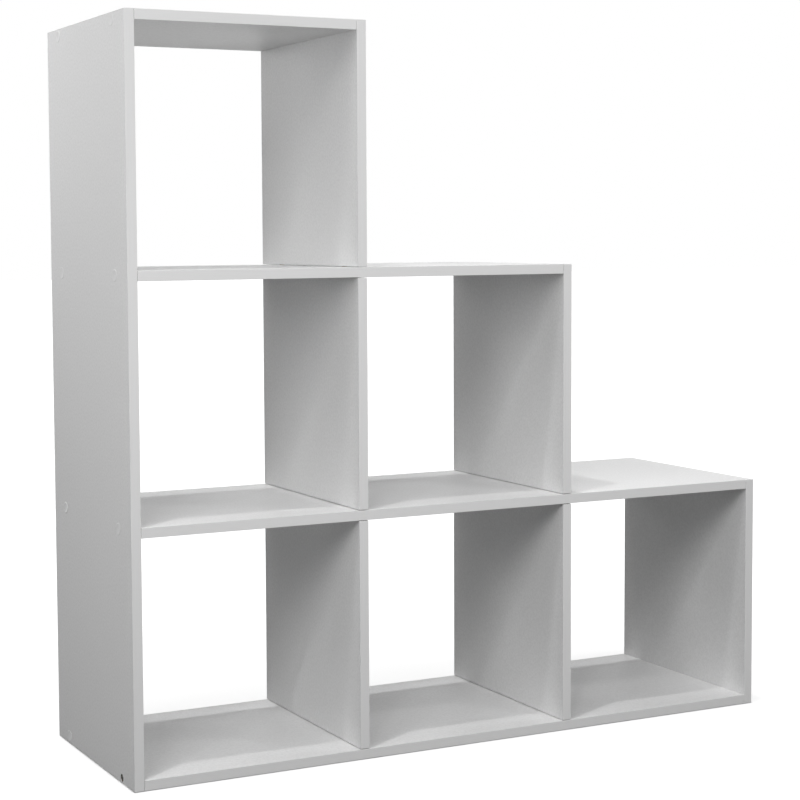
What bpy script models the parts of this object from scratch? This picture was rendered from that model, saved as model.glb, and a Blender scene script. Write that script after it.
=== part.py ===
"""White stair-step cube shelf: open cells in three columns that are three, two and one cell high.

Metres, +Z up. The origin lies on the floor under the middle of the shelf, the front faces -Y, and +X runs
to the right as seen from the front. Boards are joined by one-piece joining screws, capped outside, and by
dowels.
"""

import math

import bmesh
import bpy
from mathutils import Matrix, Vector

# Boards and cells
BOARD = 0.015
CELL_WIDTH = 0.345
CELL_HEIGHT = 0.347
DEPTH = 0.345
EDGE_RADIUS = 0.0005
EDGE_STEPS = 2

# Gaps between pieces that meet
JOINT_GAP = 0.0003
STACK_GAP = 0.0008
BORE_CLEARANCE = 0.0003
BORE_END_GAP = 0.001

# Joining screws
SCREW_INSET = 0.053
SCREW_LENGTH = 0.050
HEAD_DIAMETER = 0.011
HEAD_RIM = 0.001
HEAD_RECESS = 0.002
COLLAR_DIAMETER = 0.007
COLLAR_SETBACK = 0.001
SHANK_DIAMETER = 0.005
TIP_DIAMETER = 0.003
TIP_LENGTH = 0.003
SOCKET_WIDTH = 0.004
SOCKET_DEPTH = 0.003

# Cover caps
CAP_DIAMETER = 0.018
CAP_RIM = 0.0002
CAP_RISE = 0.0003
CAP_CROWN_DIAMETER = 0.006
CAP_EDGE_MARGIN = 0.002
CAP_DOME_STEPS = 2

# Dowels
DOWEL_INSET = 0.060
DOWEL_DIAMETER = 0.008
DOWEL_CHAMFER = 0.0008
DOWEL_REACH = 0.017
DOWEL_FLOOR = 0.005

# Faces round a turned piece
BORE_SIDES = 16
CAP_SIDES = 20
SOCKET_SIDES = 6
SHARP_ANGLE = math.radians(40)

# Standing boards stand on lines counted from the left, level boards lie on levels counted from the floor
LEFT, FIRST, SECOND, RIGHT = range(4)
BOTTOM, LOWER, UPPER, TOP = range(4)
FLOOR = 0.0

TOTAL_WIDTH = RIGHT * (BOARD + CELL_WIDTH) + BOARD
FRONT_AND_REAR = {"front": -1, "rear": 1}
UPWARD = Vector((0, 0, 1))

# Kept while the pieces are made: each object's place, each board's height span and the bores to cut in it
places = {None: Vector((0, 0, 0))}
height_spans = {}
bores = {}


def line_left(line):
    """Left face of the standing boards on a line."""
    return line * (BOARD + CELL_WIDTH) - TOTAL_WIDTH / 2


def line_middle(line):
    return line_left(line) + BOARD / 2


def level_under(level):
    """Underside of the level board on a level."""
    return level * (BOARD + CELL_HEIGHT)


def level_over(level):
    return level_under(level) + BOARD


def standing_on(level):
    """Foot of a board that stands on a level board."""
    return level_over(level) + STACK_GAP


def make_material(name, colour, roughness, metallic=0.0):
    material = bpy.data.materials.new(name)
    material.use_nodes = True
    shader = material.node_tree.nodes["Principled BSDF"]
    shader.inputs["Base Color"].default_value = (*colour, 1.0)
    shader.inputs["Roughness"].default_value = roughness
    shader.inputs["Metallic"].default_value = metallic
    return material


def make_object(name, mesh, material, parent, position):
    """Add an object at a position in the shelf's frame, under a parent that is itself unrotated."""
    piece = bpy.data.objects.new(name, mesh)
    bpy.context.scene.collection.objects.link(piece)
    if material:
        mesh.materials.append(material)
    piece.parent = parent
    piece.location = Vector(position) - places[parent]
    places[piece] = Vector(position)
    return piece


def mesh_from(bm, name, smooth):
    mesh = bpy.data.meshes.new(name)
    bm.to_mesh(mesh)
    bm.free()
    if smooth:
        mesh.shade_smooth()
        mesh.set_sharp_from_angle(angle=SHARP_ANGLE)
    return mesh


def turned_mesh(name, profile, sides):
    """Turn a profile of (radius, height) points about the Z axis and close both of its ends."""
    bm = bmesh.new()
    points = [bm.verts.new((radius, 0, height)) for radius, height in profile]
    lines = [bm.edges.new(pair) for pair in zip(points, points[1:])]
    turn = {"cent": (0, 0, 0), "axis": UPWARD, "angle": math.tau, "steps": sides, "use_merge": True}
    bmesh.ops.spin(bm, geom=points + lines, **turn)
    bmesh.ops.holes_fill(bm, edges=bm.edges, sides=0)
    bmesh.ops.recalc_face_normals(bm, faces=bm.faces)
    return mesh_from(bm, name, smooth=True)


def placement(position, direction):
    """Matrix that puts a turned shape's start at a position and its height along a direction."""
    return Matrix.Translation(position) @ UPWARD.rotation_difference(direction).to_matrix().to_4x4()


def cut_mesh(mesh, cutter_mesh):
    """Return a new mesh: the first one with the second one's volume taken out of it."""
    body = bpy.data.objects.new("body", mesh)
    cutter = bpy.data.objects.new("cutter", cutter_mesh)
    for piece in (body, cutter):
        bpy.context.scene.collection.objects.link(piece)
    body.modifiers.new("cut", "BOOLEAN").object = cutter
    evaluated = body.evaluated_get(bpy.context.evaluated_depsgraph_get())
    result = bpy.data.meshes.new_from_object(evaluated)
    for piece in (body, cutter):
        bpy.data.objects.remove(piece)
    return result


def make_board(name, x_span, z_span):
    """A board with eased edges, as deep as the shelf. Its bores are cut once all joints are known."""
    size = (x_span[1] - x_span[0], DEPTH, z_span[1] - z_span[0])
    middle = (sum(x_span) / 2, 0, sum(z_span) / 2)
    bm = bmesh.new()
    bmesh.ops.create_cube(bm, size=1.0, matrix=Matrix.Diagonal((*size, 1.0)))
    board = make_object(name, mesh_from(bm, name, smooth=False), melamine, shelf, middle)
    easing = board.modifiers.new("eased edges", "BEVEL")
    easing.width = EDGE_RADIUS
    easing.segments = EDGE_STEPS
    easing.limit_method = "NONE"
    height_spans[board] = z_span
    bores[board] = []
    return board


def make_level_board(name, level, last_line):
    """A level board from the left side panel to the standing board on its last line."""
    x_span = (line_left(LEFT) + BOARD + JOINT_GAP, line_left(last_line) - JOINT_GAP)
    return make_board(name, x_span, (level_under(level), level_over(level)))


def make_standing_board(name, line, z_span):
    return make_board(name, (line_left(line), line_left(line) + BOARD), z_span)


def make_side_panel(name, line, foot, top_level):
    """A standing board that closes the end of a level board and is flush with its top."""
    return make_standing_board(name, line, (foot, level_over(top_level)))


def make_divider(name, line, level):
    """A standing board in the cell row over a level, between two level boards."""
    return make_standing_board(name, line, (standing_on(level), level_under(level + 1) - STACK_GAP))


def cut_bores(board):
    """Take all of a board's bores out of it with one wire-drawn cutter."""
    bm = bmesh.new()
    for profile, position, direction in bores[board]:
        bore = turned_mesh("bore", profile, BORE_SIDES)
        bore.transform(placement(position - places[board], direction))
        bm.from_mesh(bore)
        bpy.data.meshes.remove(bore)
    name = board.name + "_bores"
    cutter = make_object(name, mesh_from(bm, name, smooth=False), None, board, places[board])
    cutter.hide_render = True
    cutter.display_type = "WIRE"
    board.modifiers.new("bores", "BOOLEAN").object = cutter


def head_profile(spare):
    """Outer profile of a screw's head and of its seat, which is wider by a spare radius."""
    head = HEAD_DIAMETER / 2 + spare
    collar = COLLAR_DIAMETER / 2 + spare
    rim_end = HEAD_RECESS + HEAD_RIM
    return [(head, rim_end), (collar, rim_end + head - collar)]


def make_screw_mesh():
    """Countersunk head with a hexagon socket, smooth collar for the side panel, thinner shank and a tip."""
    collar_end = BOARD - COLLAR_SETBACK
    end = HEAD_RECESS + SCREW_LENGTH
    profile = [(HEAD_DIAMETER / 2, HEAD_RECESS), *head_profile(0.0)]
    profile += [(COLLAR_DIAMETER / 2, collar_end), (SHANK_DIAMETER / 2, collar_end)]
    profile += [(SHANK_DIAMETER / 2, end - TIP_LENGTH), (TIP_DIAMETER / 2, end)]
    screw = turned_mesh("screw", profile, BORE_SIDES)
    corner = SOCKET_WIDTH / 2 / math.cos(math.pi / SOCKET_SIDES)
    socket_profile = [(corner, 0.0), (corner, HEAD_RECESS + SOCKET_DEPTH)]
    return cut_mesh(screw, turned_mesh("socket", socket_profile, SOCKET_SIDES))


def make_cap_mesh():
    """A stuck-on cap: flat underneath, a short rim and a shallow dome that ends in a flat crown."""
    rim = CAP_DIAMETER / 2
    crown = CAP_CROWN_DIAMETER / 2
    profile = [(rim, 0.0)]
    for step in range(CAP_DOME_STEPS + 1):
        turn = math.pi / 2 * step / CAP_DOME_STEPS
        profile.append((crown + (rim - crown) * math.cos(turn), CAP_RIM + CAP_RISE * math.sin(turn)))
    return turned_mesh("cap", profile, CAP_SIDES)


def make_dowel_mesh(length):
    tight = DOWEL_DIAMETER / 2 - DOWEL_CHAMFER
    wide = DOWEL_DIAMETER / 2
    profile = [(tight, 0.0), (wide, DOWEL_CHAMFER), (wide, length - DOWEL_CHAMFER), (tight, length)]
    return turned_mesh("dowel", profile, BORE_SIDES)


def join_with_screws(label, panel, level_board, outer_face, inward, capless=()):
    """Screw a side panel to the end of a level board at the front and the rear, and cap the heads."""
    drive = Vector((inward, 0, 0))
    clear_head = HEAD_DIAMETER / 2 + BORE_CLEARANCE
    clear_collar = COLLAR_DIAMETER / 2 + BORE_CLEARANCE
    clear_shank = SHANK_DIAMETER / 2 + BORE_CLEARANCE
    through_bore = [(clear_head, -JOINT_GAP), *head_profile(BORE_CLEARANCE)]
    through_bore.append((clear_collar, BOARD + JOINT_GAP))
    pilot_bore = [(clear_shank, BOARD), (clear_shank, HEAD_RECESS + SCREW_LENGTH + BORE_END_GAP)]
    cap_room = CAP_DIAMETER / 2 + CAP_EDGE_MARGIN
    panel_low, panel_high = height_spans[panel]
    for end, side in FRONT_AND_REAR.items():
        entry = Vector((outer_face, side * (DEPTH / 2 - SCREW_INSET), places[level_board].z))
        bores[panel].append((through_bore, entry, drive))
        bores[level_board].append((pilot_bore, entry, drive))
        screw = make_object(f"screw_{label}_{end}", screw_mesh.copy(), steel, panel, entry)
        screw.rotation_euler = UPWARD.rotation_difference(drive).to_euler()
        if end in capless:
            continue
        height = min(max(entry.z, panel_low + cap_room), panel_high - cap_room)
        seat = Vector((outer_face - inward * JOINT_GAP, entry.y, height))
        cap = make_object(f"cap_{label}_{end}", cap_mesh.copy(), plastic, panel, seat)
        cap.rotation_euler = UPWARD.rotation_difference(-drive).to_euler()


def join_with_dowels(label, line, level_board, above, below=None):
    """Dowel the board above a level board to it, and through it to the board below where there is one."""
    under, over = height_spans[level_board]
    top = over + STACK_GAP + DOWEL_REACH
    foot = under - STACK_GAP - DOWEL_REACH if below else under + DOWEL_FLOOR + BORE_END_GAP
    clear = DOWEL_DIAMETER / 2 + BORE_CLEARANCE
    bore = [(clear, 0.0), (clear, top - foot + 2 * BORE_END_GAP)]
    for end, side in FRONT_AND_REAR.items():
        place = Vector((line_middle(line), side * (DEPTH / 2 - DOWEL_INSET), foot))
        for board in filter(None, (level_board, above, below)):
            bores[board].append((bore, place - UPWARD * BORE_END_GAP, UPWARD))
        make_object(f"dowel_{label}_{end}", make_dowel_mesh(top - foot), beech, level_board, place)


for leftover in list(bpy.data.objects):
    bpy.data.objects.remove(leftover)

melamine = make_material("white_melamine", (0.80, 0.80, 0.80), 0.45)
steel = make_material("blackened_steel", (0.10, 0.10, 0.11), 0.45, metallic=1.0)
plastic = make_material("white_plastic", (0.82, 0.82, 0.81), 0.40)
beech = make_material("beech", (0.62, 0.44, 0.27), 0.65)

shelf = make_object("stair_shelf", None, None, None, (0, 0, 0))

bottom_panel = make_level_board("bottom_panel", BOTTOM, RIGHT)
lower_shelf = make_level_board("lower_shelf", LOWER, RIGHT)
upper_shelf = make_level_board("upper_shelf", UPPER, SECOND)
top_panel = make_level_board("top_panel", TOP, FIRST)

left_side_panel = make_side_panel("left_side_panel", LEFT, FLOOR, TOP)
right_side_panel = make_side_panel("right_side_panel", RIGHT, FLOOR, LOWER)
middle_side_panel = make_side_panel("middle_side_panel", SECOND, standing_on(LOWER), UPPER)
upper_side_panel = make_side_panel("upper_side_panel", FIRST, standing_on(UPPER), TOP)
middle_divider = make_divider("middle_divider", FIRST, LOWER)
lower_divider_left = make_divider("lower_divider_left", FIRST, BOTTOM)
lower_divider_right = make_divider("lower_divider_right", SECOND, BOTTOM)

screw_mesh = make_screw_mesh()
cap_mesh = make_cap_mesh()

left_face = line_left(LEFT)
join_with_screws("left_bottom", left_side_panel, bottom_panel, left_face, 1, capless=("front",))
join_with_screws("left_lower", left_side_panel, lower_shelf, left_face, 1)
join_with_screws("left_upper", left_side_panel, upper_shelf, left_face, 1)
join_with_screws("left_top", left_side_panel, top_panel, left_face, 1)

right_face = line_left(RIGHT) + BOARD
join_with_screws("right_bottom", right_side_panel, bottom_panel, right_face, -1)
join_with_screws("right_lower", right_side_panel, lower_shelf, right_face, -1)
join_with_screws("middle_upper", middle_side_panel, upper_shelf, line_left(SECOND) + BOARD, -1)
join_with_screws("upper_top", upper_side_panel, top_panel, line_left(FIRST) + BOARD, -1)

join_with_dowels("upper_shelf", FIRST, upper_shelf, upper_side_panel, middle_divider)
join_with_dowels("lower_shelf_left", FIRST, lower_shelf, middle_divider, lower_divider_left)
join_with_dowels("lower_shelf_right", SECOND, lower_shelf, middle_side_panel, lower_divider_right)
join_with_dowels("bottom_left", FIRST, bottom_panel, lower_divider_left)
join_with_dowels("bottom_right", SECOND, bottom_panel, lower_divider_right)

for drilled_board in bores:
    cut_bores(drilled_board)
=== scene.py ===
"""Dresses the stair-step cube shelf: melamine boards with edge bands, cover caps, threaded joining screws
and fluted dowels, on a plain pale floor under soft studio light, seen from the photograph's viewing angle.

Metres, +Z up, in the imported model's own frame: the front faces -Y, and +X runs to the right as seen from
the front.
"""

import math
from collections import namedtuple

import bmesh
import bpy
from mathutils import Matrix, Vector


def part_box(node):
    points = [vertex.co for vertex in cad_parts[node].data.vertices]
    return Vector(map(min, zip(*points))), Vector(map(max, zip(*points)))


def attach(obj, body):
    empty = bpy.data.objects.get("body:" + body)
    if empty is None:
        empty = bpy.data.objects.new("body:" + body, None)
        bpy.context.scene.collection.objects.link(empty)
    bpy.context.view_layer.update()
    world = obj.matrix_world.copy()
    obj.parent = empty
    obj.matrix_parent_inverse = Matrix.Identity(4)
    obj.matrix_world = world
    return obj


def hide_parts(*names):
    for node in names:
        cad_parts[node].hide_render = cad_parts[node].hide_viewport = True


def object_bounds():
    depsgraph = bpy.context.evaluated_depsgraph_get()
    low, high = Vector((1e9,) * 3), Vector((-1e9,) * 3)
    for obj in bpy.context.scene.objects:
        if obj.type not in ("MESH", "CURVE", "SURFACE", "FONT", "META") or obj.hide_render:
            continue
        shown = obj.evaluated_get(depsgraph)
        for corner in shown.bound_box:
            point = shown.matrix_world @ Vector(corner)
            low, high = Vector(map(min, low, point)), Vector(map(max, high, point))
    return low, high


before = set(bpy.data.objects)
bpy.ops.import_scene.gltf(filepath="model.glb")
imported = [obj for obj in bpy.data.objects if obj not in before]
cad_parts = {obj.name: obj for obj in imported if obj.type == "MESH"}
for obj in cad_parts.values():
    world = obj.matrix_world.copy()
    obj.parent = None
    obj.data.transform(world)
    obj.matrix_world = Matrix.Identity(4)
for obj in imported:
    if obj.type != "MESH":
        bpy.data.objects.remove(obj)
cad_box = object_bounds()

BODY = "root"
LEFT_PANEL = "left_side_panel"
LEFTWARD = Vector((-1, 0, 0))
RIGHTWARD = Vector((1, 0, 0))
UPWARD = Vector((0, 0, 1))

# How the names of the small pieces' CAD nodes start; every other node is a board
CAP, SCREW, DOWEL = "cap_", "screw_", "dowel_"

# Camera: the photograph is square, and its optical axis lies off the middle of the picture
IMAGE_SIDE = 800.0
SENSOR_WIDTH = 36.0
FOCAL_PIXELS = 1853.97
AXIS_PIXEL = (330.31, 363.89)
CAMERA_PLACE = Vector((-1.43046, -2.61218, 0.78638))
CAMERA_TURN = math.radians(-26.118)
CAMERA_TILT = math.radians(-3.970)
CAMERA_ROLL = math.radians(-0.3925)

# Floor: a white glow in the open and a shaded floor under the shelf. Beside the shelf, SHADOW_SHARE of the
# shaded floor shows and fades to none over SHADOW_REACH, and the rest of it ends within CONTACT_REACH.
# Light that bounces meets the grey FLOOR_BOUNCE instead.
FLOOR_SIDE = 60.0
FLOOR_DROP = 0.0005
FLOOR_BOUNCE = 0.05
FLOOR_WHITE = 0.90
FLOOR_GLOW = 1.25
SHADOW_SHARE = 0.40
SHADOW_REACH = 0.7
CONTACT_REACH = 0.002

# Lamps: fitted to the faces' shades and the shadow edges that the photograph shows, then rounded. Bearing is
# in degrees from the front towards the right, height in degrees up, and radius is the disc's. Light is what
# the lamp gives at LAMP_TARGET, in the shelf's middle, on a face turned to it, where pi is full light.
Lamp = namedtuple("Lamp", "bearing height distance radius light")
LAMPS = {
    "front_low": Lamp(bearing=15, height=-5, distance=2.1, radius=0.30, light=0.48),
    "front_right_near": Lamp(bearing=32, height=47, distance=1.4, radius=0.06, light=0.36),
    "front_wide": Lamp(bearing=-5, height=41, distance=5.0, radius=0.40, light=0.56),
    "front_left_soft": Lamp(bearing=-36, height=32, distance=5.3, radius=0.90, light=0.45),
    "front_left_crisp": Lamp(bearing=-37, height=43, distance=6.5, radius=0.12, light=0.14),
    "front_left_far": Lamp(bearing=-52, height=37, distance=9.0, radius=0.15, light=0.16),
    "front_left_low": Lamp(bearing=-56, height=13, distance=1.8, radius=0.25, light=0.52),
    "front_left_steep": Lamp(bearing=-58, height=69, distance=6.6, radius=0.08, light=0.58),
    "left_high": Lamp(bearing=-69, height=45, distance=7.2, radius=0.80, light=0.23),
    "left_rear": Lamp(bearing=-110, height=29, distance=1.3, radius=0.30, light=0.32),
    "rear": Lamp(bearing=-166, height=29, distance=1.35, radius=0.23, light=0.35),
    "rear_steep": Lamp(bearing=-166, height=80.5, distance=9.0, radius=0.15, light=0.80),
    "rear_low": Lamp(bearing=-179, height=-1, distance=8.0, radius=0.10, light=0.20),
    "right": Lamp(bearing=90, height=3, distance=4.2, radius=0.60, light=1.10),
}
LAMP_TARGET = Vector((0.0, 0.0, 0.55))

# The range that most values of a noise lie in
NOISE_RANGE = (0.3, 0.7)

# Boards: the layers under a face or an edge, the depth of their relief, and the gloss that all white has
SKIN = 0.0004
BAND_THICKNESS = 0.0009
GLUE_LINE = 0.00015
GLUE_GREY = 0.62
BOARD_RELIEF = 0.00008
WHITE_SPECULAR = 0.35

# Melamine: pale clouds under a fine, slightly darker pearl, with a finer grain
CLOUD_SIZE = 0.16
CLOUD_GREYS = (0.824, 0.840)
PEARL_SIZE = 0.0034
PEARL_GREY = 0.751
PEARL_SHARE = 0.8
GRAIN_SIZE = 0.0008
GRAIN_RELIEF = 0.35
FACE_ROUGHNESS = (0.45, 0.55)

# Edge bands: fine streaks along a standing board, turned for a level one
STREAK_SIZE = Vector((0.0011, 0.0011, 0.12))
STREAK_GREYS = (0.796, 0.824)
STREAK_RELIEF = 0.15
BAND_ROUGHNESS = (0.38, 0.48)

# Chipboard: its greys are darker than raw chipboard, as painted shade in the seams and bores where it shows
CHIP_SIZE = 0.0016
CHIP_SHADED_DARK = (0.09, 0.075, 0.06, 1.0)
CHIP_SHADED_LIGHT = (0.20, 0.17, 0.14, 1.0)
CHIP_RELIEF = 2.2
CHIP_ROUGHNESS = 0.9

# Moulded plastic
PLASTIC_CLOUD_SIZE = 0.006
PLASTIC_GREYS = (0.79, 0.83)
PLASTIC_GRAIN_SIZE = 0.0004
PLASTIC_RELIEF = 0.00001
PLASTIC_ROUGHNESS = (0.34, 0.46)

# Black plating: WEAR_RANGE is where the noise goes over from plating to worn steel
PLATING_CLOUD_SIZE = 0.0011
PLATING_GREYS = (0.07, 0.13)
PLATING_ROUGHNESS = (0.38, 0.56)
WEAR_SIZE = 0.0025
WEAR_RANGE = (0.60, 0.70)
WEAR_SHARE = 0.5
WORN_STEEL = (0.36, 0.36, 0.38, 1.0)
TURNING_MARK_SIZE = Vector((0.0033, 0.0033, 0.00011))
TURNING_MARK_RELIEF = 0.00001

# Beech: FLECK_RANGE is where the noise goes over from plain wood to a fleck
WOOD_GRAIN_SIZE = Vector((0.0011, 0.0011, 0.040))
WOOD_DARK = (0.52, 0.35, 0.20, 1.0)
WOOD_LIGHT = (0.70, 0.52, 0.34, 1.0)
WOOD_RELIEF = 0.00008
WOOD_ROUGHNESS = (0.55, 0.75)
FLECK_SIZE = Vector((0.00038, 0.00038, 0.0033))
FLECK_RANGE = (0.62, 0.70)
FLECK_SHARE = 0.6
FLECK_COLOUR = (0.34, 0.20, 0.10, 1.0)

# Joining screws: SOCKET_POINT is a share of the socket's width, and THREAD_FLANK a share of the pitch
HEAD_FILLET = 0.0003
HEAD_RIM = 0.001
SOCKET_SIDES = 6
SOCKET_WIDTH = 0.004
SOCKET_DEPTH = 0.003
SOCKET_CHAMFER = 0.0004
SOCKET_CONE = 0.0008
SOCKET_POINT = 0.3
COLLAR_DIAMETER = 0.007
COLLAR_SETBACK = 0.001
COLLAR_CHAMFER = 0.0005
THREAD_CORE = 0.0042
THREAD_CREST = 0.0054
THREAD_PITCH = 0.003
THREAD_FLANK = 0.3
TIP_DIAMETER = 0.003
TIP_LENGTH = 0.003
SCREW_SIDES = 24
RINGS_PER_TURN = 6
SCREW_SHARP_ANGLE = math.radians(35)

# Cover caps: a raised lip round a shallow dish; CAP_LIP_RISE is a share of the CAD cap's thickness
CAP_SIDES = 64
CAP_GLUE = 0.00002
CAP_EDGE = 0.0001
CAP_LIP_RISE = 0.5
CAP_LIP_WIDTH = 0.0014
CAP_DISH_DEPTH = 0.0002
CAP_LIP_STEPS = 10
CAP_SHARP_ANGLE = math.radians(50)

# Dowels
FLUTES = 16
SIDES_PER_FLUTE = 4
FLUTE_DEPTH = 0.0003
DOWEL_CHAMFER = 0.0008
DOWEL_SHARP_ANGLE = math.radians(40)

# Where a Mix node keeps its two inputs and its output, for each kind of value
MIX_SOCKETS = {"FLOAT": (2, 3, 0), "RGBA": (6, 7, 2)}


def grey(level):
    return (level, level, level, 1.0)


class Nodes:
    """Short calls that add nodes to one node tree and link them."""

    def __init__(self, tree):
        self.tree = tree

    def add(self, kind, **settings):
        node = self.tree.nodes.new(kind)
        for name, value in settings.items():
            setattr(node, name, value)
        return node

    def put(self, socket, value):
        """Link an output to an input, or set the input to a plain value."""
        if isinstance(value, bpy.types.NodeSocket):
            self.tree.links.new(value, socket)
        else:
            socket.default_value = value

    def feed(self, node, **values):
        """Put values on inputs by name; an underscore in a name stands for a space."""
        for name, value in values.items():
            self.put(node.inputs[name.replace("_", " ")], value)

    def number(self, operation, *values):
        node = self.add("ShaderNodeMath", operation=operation)
        for socket, value in zip(node.inputs, values):
            self.put(socket, value)
        return node.outputs[0]

    def vector(self, operation, *values):
        node = self.add("ShaderNodeVectorMath", operation=operation)
        for socket, value in zip(node.inputs, values):
            self.put(socket, value)
        return node.outputs["Value" if operation == "LENGTH" else "Vector"]

    def spread(self, value, given, wanted=(0.0, 1.0)):
        """Map a value from the given range to the wanted one, held at the ends."""
        node = self.add("ShaderNodeMapRange", clamp=True)
        self.feed(node, Value=value, From_Min=given[0], From_Max=given[1])
        self.feed(node, To_Min=wanted[0], To_Max=wanted[1])
        return node.outputs["Result"]

    def noise(self, place, size, detail=2.0, roughness=0.5):
        """Noise whose patches are about as large as a size, one number or one for each axis."""
        if isinstance(size, Vector):
            place = self.vector("DIVIDE", place, size)
            size = 1.0
        node = self.add("ShaderNodeTexNoise")
        self.feed(node, Vector=place, Scale=1.0 / size, Detail=detail, Roughness=roughness)
        return node.outputs["Fac"]

    def mix(self, kind, share, first, second):
        node = self.add("ShaderNodeMix", data_type=kind)
        first_input, second_input, output = MIX_SOCKETS[kind]
        self.put(node.inputs[0], share)
        self.put(node.inputs[first_input], first)
        self.put(node.inputs[second_input], second)
        return node.outputs[output]

    def blend(self, share, first, second):
        """A colour between two."""
        return self.mix("RGBA", share, first, second)

    def blend_greys(self, share, greys):
        """A grey between two."""
        return self.blend(share, grey(greys[0]), grey(greys[1]))

    def between(self, share, first, second):
        """A number between two."""
        return self.mix("FLOAT", share, first, second)

    def bump(self, height, depth):
        node = self.add("ShaderNodeBump")
        self.feed(node, Height=height, Distance=depth, Strength=1.0)
        return node.outputs["Normal"]

    def shader_mix(self, share, first, second):
        node = self.add("ShaderNodeMixShader")
        for socket, value in zip(node.inputs, (share, first, second)):
            self.put(socket, value)
        return node.outputs["Shader"]


def new_material(name):
    material = bpy.data.materials.new(name)
    material.use_nodes = True
    nodes = Nodes(material.node_tree)
    shader = material.node_tree.nodes["Principled BSDF"]
    place = nodes.add("ShaderNodeTexCoord").outputs["Object"]
    return material, nodes, shader, place


def board_depths(nodes, place, low, high, banded_top):
    """How deep a point lies under the board's broad faces, and how deep under its banded edges."""
    middle = (low + high) / 2
    half = (high - low) / 2
    from_middle = nodes.vector("ABSOLUTE", nodes.vector("SUBTRACT", place, middle))
    inset = nodes.add("ShaderNodeSeparateXYZ")
    nodes.feed(inset, Vector=nodes.vector("SUBTRACT", half, from_middle))
    under_face = inset.outputs["Z" if half.z < half.x else "X"]
    under_edges = inset.outputs["Y"]
    if banded_top:
        height = nodes.add("ShaderNodeSeparateXYZ")
        nodes.feed(height, Vector=place)
        under_top = nodes.number("SUBTRACT", high.z, height.outputs["Z"])
        under_edges = nodes.number("MINIMUM", under_edges, under_top)
    return under_face, under_edges


def melamine_face(nodes, place):
    """White with faint clouds and a fine pearl: colour, roughness and relief."""
    clouds = nodes.noise(place, CLOUD_SIZE, detail=3.0)
    pearls = nodes.noise(place, PEARL_SIZE, detail=1.0)
    grain = nodes.noise(place, GRAIN_SIZE, detail=1.0)
    pearl_share = nodes.spread(pearls, NOISE_RANGE, (0.0, PEARL_SHARE))
    colour = nodes.blend(pearl_share, nodes.blend_greys(clouds, CLOUD_GREYS), grey(PEARL_GREY))
    roughness = nodes.spread(grain, NOISE_RANGE, FACE_ROUGHNESS)
    relief = nodes.number("MULTIPLY_ADD", grain, GRAIN_RELIEF, pearls)
    return colour, roughness, relief


def edge_band(nodes, place, lies_level):
    """A smoother plastic band with fine streaks along it: colour, roughness and relief."""
    size = STREAK_SIZE.zyx if lies_level else STREAK_SIZE
    streaks = nodes.noise(place, size)
    colour = nodes.blend_greys(streaks, STREAK_GREYS)
    roughness = nodes.spread(streaks, NOISE_RANGE, BAND_ROUGHNESS)
    relief = nodes.number("MULTIPLY", streaks, STREAK_RELIEF)
    return colour, roughness, relief


def chipboard_core(nodes, place):
    """Pressed wood chips, as the bores cut through them, darker than raw chipboard as painted shade: colour,
    roughness and relief.
    """
    chips = nodes.add("ShaderNodeTexVoronoi")
    nodes.feed(chips, Vector=place, Scale=1.0 / CHIP_SIZE)
    tone = nodes.add("ShaderNodeSeparateColor")
    nodes.feed(tone, Color=chips.outputs["Color"])
    # Painted shade: both chipboard greys are darker than the raw board, so seams and bores read shaded
    colour = nodes.blend(tone.outputs["Red"], CHIP_SHADED_DARK, CHIP_SHADED_LIGHT)
    relief = nodes.number("MULTIPLY", tone.outputs["Green"], CHIP_RELIEF)
    return colour, CHIP_ROUGHNESS, relief


def melamine_material(name, low, high, banded_top):
    """White melamine on broad faces, bands on the edges that show, and chipboard darkened as painted shade
    in bores and hidden ends.
    """
    material, nodes, shader, place = new_material(name)
    under_face, under_edges = board_depths(nodes, place, low, high, banded_top)
    depth = nodes.number("MINIMUM", under_face, under_edges)
    in_core = nodes.spread(depth, (SKIN, SKIN + GLUE_LINE))
    on_edge = nodes.spread(under_face, (SKIN / 2, SKIN))
    glue = nodes.number("COMPARE", under_edges, BAND_THICKNESS, GLUE_LINE)

    face_colour, face_roughness, face_relief = melamine_face(nodes, place)
    band_colour, band_roughness, band_relief = edge_band(nodes, place, high.z - low.z < high.x - low.x)
    core_shaded_colour, core_roughness, core_relief = chipboard_core(nodes, place)
    face_colour = nodes.blend(glue, face_colour, grey(GLUE_GREY))

    # The core's colour is chipboard darkened as painted shade for the seams and bores
    colour = nodes.blend(in_core, nodes.blend(on_edge, face_colour, band_colour), core_shaded_colour)
    roughness = nodes.between(on_edge, face_roughness, band_roughness)
    roughness = nodes.between(in_core, roughness, core_roughness)
    relief = nodes.between(in_core, nodes.between(on_edge, face_relief, band_relief), core_relief)
    nodes.feed(shader, Base_Color=colour, Roughness=roughness, Normal=nodes.bump(relief, BOARD_RELIEF))
    nodes.feed(shader, Specular_IOR_Level=WHITE_SPECULAR)
    return material


def plastic_material():
    """Smooth moulded white plastic with a faint mould grain."""
    material, nodes, shader, place = new_material("moulded_plastic")
    clouds = nodes.noise(place, PLASTIC_CLOUD_SIZE)
    grain = nodes.noise(place, PLASTIC_GRAIN_SIZE, detail=1.0)
    colour = nodes.blend_greys(clouds, PLASTIC_GREYS)
    roughness = nodes.spread(grain, NOISE_RANGE, PLASTIC_ROUGHNESS)
    nodes.feed(shader, Base_Color=colour, Roughness=roughness, Normal=nodes.bump(grain, PLASTIC_RELIEF))
    nodes.feed(shader, Specular_IOR_Level=WHITE_SPECULAR)
    return material


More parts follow.
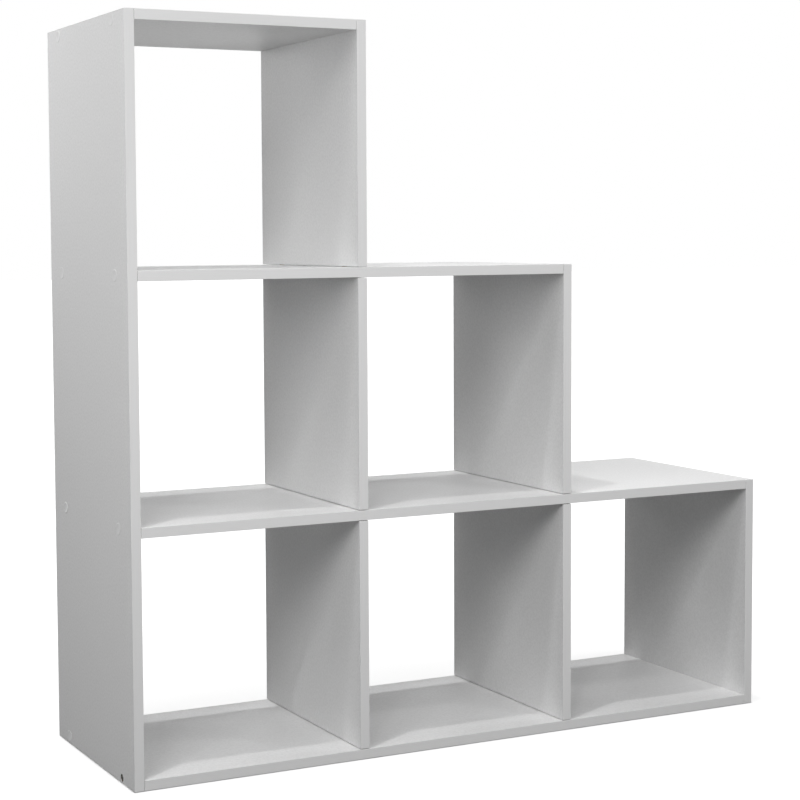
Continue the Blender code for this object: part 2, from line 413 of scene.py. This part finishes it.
def steel_material():
    """Dull, cloudy black plating, worn to bare steel in places, with turning marks round the screw."""
    material, nodes, shader, place = new_material("black_plating")
    clouds = nodes.noise(place, PLATING_CLOUD_SIZE, detail=4.0, roughness=0.6)
    wear = nodes.noise(place, WEAR_SIZE, detail=6.0, roughness=0.7)
    marks = nodes.noise(place, TURNING_MARK_SIZE)
    worn_share = nodes.spread(wear, WEAR_RANGE, (0.0, WEAR_SHARE))
    colour = nodes.blend(worn_share, nodes.blend_greys(clouds, PLATING_GREYS), WORN_STEEL)
    roughness = nodes.spread(clouds, NOISE_RANGE, PLATING_ROUGHNESS)
    normal = nodes.bump(marks, TURNING_MARK_RELIEF)
    nodes.feed(shader, Base_Color=colour, Roughness=roughness, Normal=normal, Metallic=1.0)
    return material


def beech_material():
    """Bare beech with straight grain along the dowel and short dark flecks."""
    material, nodes, shader, place = new_material("bare_beech")
    grain = nodes.noise(place, WOOD_GRAIN_SIZE, detail=4.0, roughness=0.6)
    flecks = nodes.noise(place, FLECK_SIZE, detail=1.0)
    fleck_share = nodes.spread(flecks, FLECK_RANGE, (0.0, FLECK_SHARE))
    colour = nodes.blend(nodes.spread(grain, NOISE_RANGE), WOOD_DARK, WOOD_LIGHT)
    colour = nodes.blend(fleck_share, colour, FLECK_COLOUR)
    roughness = nodes.spread(grain, NOISE_RANGE, WOOD_ROUGHNESS)
    nodes.feed(shader, Base_Color=colour, Roughness=roughness, Normal=nodes.bump(grain, WOOD_RELIEF))
    return material


def ring_mesh(name, rings, sharp_angle):
    """Skin a stack of rings, each a list of points, and close both ends with a fan."""
    bm = bmesh.new()
    loops = [[bm.verts.new(point) for point in ring] for ring in rings]
    sides = len(rings[0])
    for lower, upper in zip(loops, loops[1:]):
        for i in range(sides):
            j = (i + 1) % sides
            bm.faces.new((lower[i], lower[j], upper[j], upper[i]))
    for loop in (loops[0], loops[-1]):
        hub = bm.verts.new(sum((vertex.co for vertex in loop), Vector()) / sides)
        for i in range(sides):
            bm.faces.new((loop[i], loop[(i + 1) % sides], hub))
    bmesh.ops.recalc_face_normals(bm, faces=bm.faces)
    mesh = bpy.data.meshes.new(name)
    bm.to_mesh(mesh)
    bm.free()
    mesh.shade_smooth()
    mesh.set_sharp_from_angle(angle=sharp_angle)
    return mesh


def shaped_circle(radius_at, height, sides):
    """A ring of points whose radius is a function of the turn round the axis."""
    points = []
    for i in range(sides):
        turn = math.tau * i / sides
        radius = radius_at(turn)
        points.append(Vector((radius * math.cos(turn), radius * math.sin(turn), height)))
    return points


def circle(radius, height, sides):
    return shaped_circle(lambda turn: radius, height, sides)


def add_piece(mesh, material, node, place, direction):
    """Stand a mesh made along +Z at a place, along a direction, as a piece that replaces a CAD node."""
    piece = bpy.data.objects.new(mesh.name, mesh)
    bpy.context.scene.collection.objects.link(piece)
    mesh.materials.append(material)
    turn = UPWARD.rotation_difference(direction).to_matrix().to_4x4()
    piece.matrix_world = Matrix.Translation(place) @ turn
    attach(piece, BODY)
    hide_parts(node)


def nodes_named(start):
    return [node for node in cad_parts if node.startswith(start)]


def outer_face(node):
    """Where the side panel's outer face lies, and which way it faces, for a cap or screw in that panel."""
    panel = node.split("_")[1] + "_side_panel"
    low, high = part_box(panel)
    if panel == LEFT_PANEL:
        return low.x, LEFTWARD
    return high.x, RIGHTWARD


def cap_mesh(name, radius, crest, foot):
    """A thin stuck-on cap that reaches down to the panel, with a low rounded lip round a shallow dish."""
    edge = foot + CAP_EDGE
    dish = crest - CAP_DISH_DEPTH
    rings = [circle(radius, foot, CAP_SIDES), circle(radius, edge, CAP_SIDES)]
    for step in range(1, 2 * CAP_LIP_STEPS + 1):
        inward = step / CAP_LIP_STEPS
        base = edge if inward < 1.0 else dish
        height = base + (crest - base) * math.sin(math.pi / 2 * inward)
        rings.append(circle(radius - CAP_LIP_WIDTH * inward, height, CAP_SIDES))
    return ring_mesh(name, rings, CAP_SHARP_ANGLE)


def make_caps(plastic):
    """A dished cap in the place of each plain one, stuck on its panel's outer face."""
    for node in nodes_named(CAP):
        low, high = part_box(node)
        middle = (low + high) / 2
        face, facing = outer_face(node)
        inner = low.x if facing.x > 0 else high.x
        seat = Vector((inner, middle.y, middle.z))
        radius = (high.y - low.y) / 2
        crest = (high.x - low.x) * CAP_LIP_RISE
        foot = CAP_GLUE - abs(inner - face)
        mesh = cap_mesh(node + "_dish", radius, crest, foot)
        add_piece(mesh, plastic, node, seat, facing)


def thread_radius(turn, height, start, end):
    """Radius of the threaded shank, whose thread runs out at both ends; its crest is half a pitch in."""
    core, crest = THREAD_CORE / 2, THREAD_CREST / 2
    phase = (height / THREAD_PITCH - turn / math.tau) % 1.0
    tooth = max(0.0, 1.0 - abs(phase - 0.5) / THREAD_FLANK)
    fade = min(1.0, (height - start) / THREAD_PITCH, (end - height) / THREAD_PITCH)
    return core + (crest - core) * tooth * max(0.0, fade)


def socket_rings():
    """Rings of the hexagon socket, from its floor up to its chamfered mouth at height 0."""
    flat = SOCKET_WIDTH / 2
    sector = math.tau / SOCKET_SIDES
    corner = flat / math.cos(sector / 2)

    def hexagon(turn):
        return flat / math.cos((turn + sector / 2) % sector - sector / 2)

    return [
        shaped_circle(lambda turn: hexagon(turn) * SOCKET_POINT, SOCKET_DEPTH + SOCKET_CONE, SCREW_SIDES),
        shaped_circle(hexagon, SOCKET_DEPTH, SCREW_SIDES),
        shaped_circle(hexagon, SOCKET_CHAMFER, SCREW_SIDES),
        circle(corner + SOCKET_CHAMFER, 0.0, SCREW_SIDES),
    ]


def head_rings(radius, collar_end):
    """Rings of the countersunk head with a rounded rim, and of the smooth collar under it."""
    collar = COLLAR_DIAMETER / 2
    rim_cut = HEAD_FILLET * (1 - math.cos(math.pi / 4))
    profile = [
        (radius - HEAD_FILLET, 0.0),
        (radius - rim_cut, rim_cut),
        (radius, HEAD_FILLET),
        (radius, HEAD_RIM),
        (collar, HEAD_RIM + radius - collar),
        (collar, collar_end),
    ]
    return [circle(out, height, SCREW_SIDES) for out, height in profile]


def thread_rings(start, length):
    """Rings of the threaded shank and its blunt tip."""
    tip = length - TIP_LENGTH
    steps = round((tip - start) / THREAD_PITCH * RINGS_PER_TURN)
    rings = []
    for step in range(steps + 1):
        height = start + (tip - start) * step / steps
        ring = shaped_circle(lambda turn: thread_radius(turn, height, start, tip), height, SCREW_SIDES)
        rings.append(ring)
    rings.append(circle(TIP_DIAMETER / 2, length, SCREW_SIDES))
    return rings


def screw_mesh(name, head_radius, length, collar_end):
    """A joining screw from its socket's floor, over the head and the collar, down the thread to the tip."""
    rings = socket_rings() + head_rings(head_radius, collar_end)
    rings += thread_rings(collar_end + COLLAR_CHAMFER, length)
    return ring_mesh(name, rings, SCREW_SHARP_ANGLE)


def make_screws(steel):
    """A threaded screw in the place of each plain one, with a collar that ends inside the side panel."""
    low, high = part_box(LEFT_PANEL)
    board = high.x - low.x
    for node in nodes_named(SCREW):
        low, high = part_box(node)
        middle = (low + high) / 2
        face, facing = outer_face(node)
        top = high.x if facing.x > 0 else low.x
        head = Vector((top, middle.y, middle.z))
        radius = (high.y - low.y) / 2
        collar_end = board - abs(top - face) - COLLAR_SETBACK
        mesh = screw_mesh(node + "_threaded", radius, high.x - low.x, collar_end)
        add_piece(mesh, steel, node, head, -facing)


def dowel_mesh(name, radius, length):
    """A fluted dowel with chamfered ends."""
    sides = FLUTES * SIDES_PER_FLUTE
    tight = 1.0 - DOWEL_CHAMFER / radius

    def fluted(turn):
        return radius - FLUTE_DEPTH * max(0.0, math.cos(turn * FLUTES)) ** 2

    def narrowed(turn):
        return fluted(turn) * tight

    rings = [shaped_circle(narrowed, 0.0, sides), shaped_circle(fluted, DOWEL_CHAMFER, sides)]
    rings += [shaped_circle(fluted, length - DOWEL_CHAMFER, sides), shaped_circle(narrowed, length, sides)]
    return ring_mesh(name, rings, DOWEL_SHARP_ANGLE)


def make_dowels(beech):
    """A fluted dowel in the place of each plain one."""
    for node in nodes_named(DOWEL):
        low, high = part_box(node)
        middle = (low + high) / 2
        foot = Vector((middle.x, middle.y, low.z))
        mesh = dowel_mesh(node + "_fluted", (high.y - low.y) / 2, high.z - low.z)
        add_piece(mesh, beech, node, foot, UPWARD)


def finish_boards():
    """The boards keep their CAD shape, and each gets a melamine of its own size."""
    for node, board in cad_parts.items():
        if node.startswith((CAP, SCREW, DOWEL)):
            continue
        banded_top = node.endswith("_side_panel")
        material = melamine_material(node + "_melamine", *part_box(node), banded_top)
        for slot in board.material_slots:
            slot.material = material


def seen_directly(nodes):
    """1 for rays from the camera, in a reflection or through glass, 0 for light that bounces."""
    path = nodes.add("ShaderNodeLightPath")
    mirrored = nodes.number("MAXIMUM", path.outputs["Is Glossy Ray"], path.outputs["Is Transmission Ray"])
    return nodes.number("MAXIMUM", path.outputs["Is Camera Ray"], mirrored)


def floor_material():
    """White in the open; towards the shelf it takes in the shadow, and under the shelf it is all shaded."""
    material = bpy.data.materials.new("pale_floor")
    material.use_nodes = True
    material.node_tree.nodes.clear()
    nodes = Nodes(material.node_tree)
    shaded = nodes.add("ShaderNodeBsdfDiffuse")
    nodes.feed(shaded, Color=grey(FLOOR_WHITE))
    glow = nodes.add("ShaderNodeEmission")
    nodes.feed(glow, Color=grey(1.0), Strength=FLOOR_GLOW)
    bounce = nodes.add("ShaderNodeBsdfDiffuse")
    nodes.feed(bounce, Color=grey(FLOOR_BOUNCE))

    place = nodes.add("ShaderNodeTexCoord").outputs["Object"]
    beside = nodes.vector("SUBTRACT", nodes.vector("ABSOLUTE", place), cad_box[1] * Vector((1, 1, 0)))
    away = nodes.vector("LENGTH", nodes.vector("MAXIMUM", beside, (0.0, 0.0, 0.0)))
    faint = nodes.spread(away, (0.0, SHADOW_REACH), (SHADOW_SHARE, 0.0))
    contact = nodes.spread(away, (0.0, CONTACT_REACH), (1.0 - SHADOW_SHARE, 0.0))
    share = nodes.number("ADD", faint, contact)
    seen = nodes.shader_mix(share, glow.outputs["Emission"], shaded.outputs["BSDF"])
    surface = nodes.shader_mix(seen_directly(nodes), bounce.outputs["BSDF"], seen)
    nodes.feed(nodes.add("ShaderNodeOutputMaterial"), Surface=surface)
    return material


def make_floor():
    half = FLOOR_SIDE / 2
    mesh = bpy.data.meshes.new("floor")
    corners = [(-half, -half, 0), (half, -half, 0), (half, half, 0), (-half, half, 0)]
    mesh.from_pydata(corners, [], [(0, 1, 2, 3)])
    mesh.materials.append(floor_material())
    floor = bpy.data.objects.new("floor", mesh)
    floor.location.z = -FLOOR_DROP
    bpy.context.scene.collection.objects.link(floor)


def make_world():
    """White behind the shelf and in its gloss, with no light of its own."""
    world = bpy.data.worlds.new("studio")
    bpy.context.scene.world = world
    world.use_nodes = True
    nodes = Nodes(world.node_tree)
    background = world.node_tree.nodes["Background"]
    nodes.feed(background, Color=grey(1.0), Strength=seen_directly(nodes))


def make_lamps():
    """Disc lamps that face the middle of the shelf and stay out of the picture."""
    for name, lamp in LAMPS.items():
        turn, rise = math.radians(lamp.bearing), math.radians(lamp.height)
        away = Vector((math.cos(rise) * math.sin(turn), -math.cos(rise) * math.cos(turn), math.sin(rise)))
        disc = bpy.data.lights.new(name, "AREA")
        disc.shape = "DISK"
        disc.size = 2 * lamp.radius
        disc.energy = lamp.light * math.pi * lamp.distance ** 2
        stand = bpy.data.objects.new(name, disc)
        bpy.context.scene.collection.objects.link(stand)
        stand.visible_camera = False
        stand.location = LAMP_TARGET + away * lamp.distance
        stand.rotation_euler = away.to_track_quat("Z", "Y").to_euler()


def make_camera():
    """The photograph's camera, from where it stood and how it was turned, tilted and rolled."""
    turn, tilt, roll = CAMERA_TURN, CAMERA_TILT, CAMERA_ROLL
    ahead = Vector((-math.sin(turn) * math.cos(tilt), math.cos(turn) * math.cos(tilt), math.sin(tilt)))
    level = Vector((math.cos(turn), math.sin(turn), 0.0))
    upright = level.cross(ahead)
    right = math.cos(roll) * level + math.sin(roll) * upright
    up = math.cos(roll) * upright - math.sin(roll) * level
    lens = bpy.data.cameras.new("camera")
    lens.sensor_width = SENSOR_WIDTH
    lens.lens = FOCAL_PIXELS / IMAGE_SIDE * SENSOR_WIDTH
    lens.shift_x = 0.5 - AXIS_PIXEL[0] / IMAGE_SIDE
    lens.shift_y = AXIS_PIXEL[1] / IMAGE_SIDE - 0.5
    camera = bpy.data.objects.new("camera", lens)
    bpy.context.scene.collection.objects.link(camera)
    axes = Matrix((right, up, -ahead)).transposed()
    camera.matrix_world = Matrix.Translation(CAMERA_PLACE) @ axes.to_4x4()
    bpy.context.scene.camera = camera


bpy.context.scene.view_settings.view_transform = "Standard"
make_camera()
make_floor()
make_world()
make_lamps()
finish_boards()
make_caps(plastic_material())
make_screws(steel_material())
make_dowels(beech_material())
